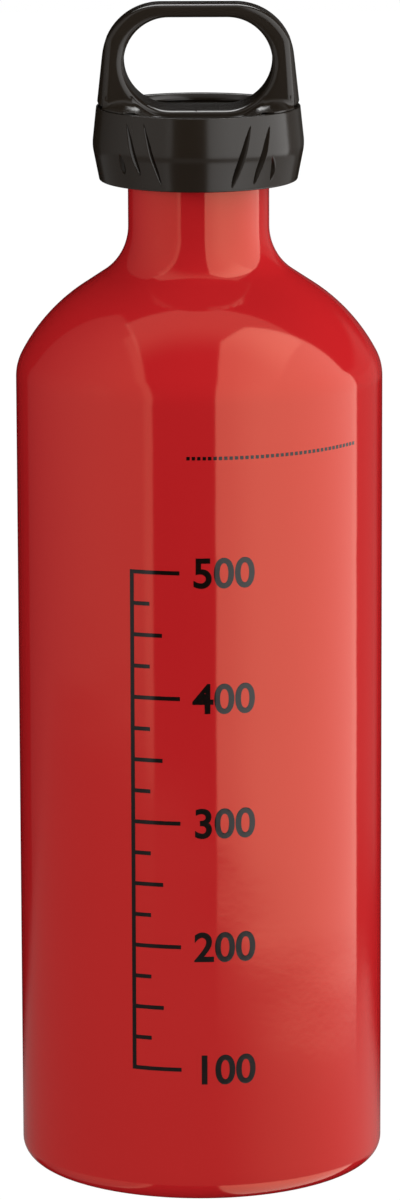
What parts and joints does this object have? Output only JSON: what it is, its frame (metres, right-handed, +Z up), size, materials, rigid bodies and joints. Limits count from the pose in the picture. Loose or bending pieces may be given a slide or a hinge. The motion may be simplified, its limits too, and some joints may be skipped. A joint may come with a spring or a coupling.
{
  "type": "camping fuel bottle",
  "caption": "Tall aluminium fuel bottle with a red body, sloping shoulder, threaded neck and a push-and-turn cap with a carry loop.",
  "frame": {"origin": "middle of the flat ring that the bottle stands on, at table height", "axes": "+Z up along the bottle's own axis, +X to the right and -Y towards the viewer of the picture, so the carry loop spans X"},
  "size_m": [0.073, 0.073, 0.2352],
  "materials": {
    "red_enamel": "glossy red baked enamel over drawn aluminium, bare inside the neck",
    "seal_rubber": "moulded nitrile rubber",
    "plug_plastic": "moulded nylon",
    "spring_steel": "drawn stainless wire",
    "cap_plastic": "satin moulded plastic"
  },
  "bodies": {
    "bottle": {"bottle_shell": "red_enamel"},
    "seal": {"lip_seal": "seal_rubber"},
    "plug": {"threaded_plug": "plug_plastic"},
    "spring": {"return_spring": "spring_steel"},
    "outer_cap": {"grip_collar": "cap_plastic", "carry_handle": "cap_plastic"}
  },
  "joints": [
    {"name": "cap_lift", "type": "slide", "parent": "bottle", "child": "seal", "axis": [0, 0, 1], "range_m": [0, 0.0093]},
    {"name": "cap_turn", "type": "hinge", "parent": "seal", "child": "plug", "pos_m": [0, 0, 0.2], "axis": [0, 0, 1], "range_deg": [0, 1116]},
    {"name": "collar_spin", "type": "hinge", "parent": "plug", "child": "spring", "pos_m": [0, 0, 0.2], "axis": [0, 0, 1], "continuous": true},
    {"name": "push_down", "type": "slide", "parent": "spring", "child": "outer_cap", "axis": [0, 0, -1], "range_m": [0, 0.0019], "stiffness_N_per_m": 1365, "springref_m": -0.0068, "deforming": ["return_spring"]}
  ],
  "couplings": [
    {"joint": "cap_turn", "follows": "cap_lift", "rad_per_m": 2094.4}
  ]
}
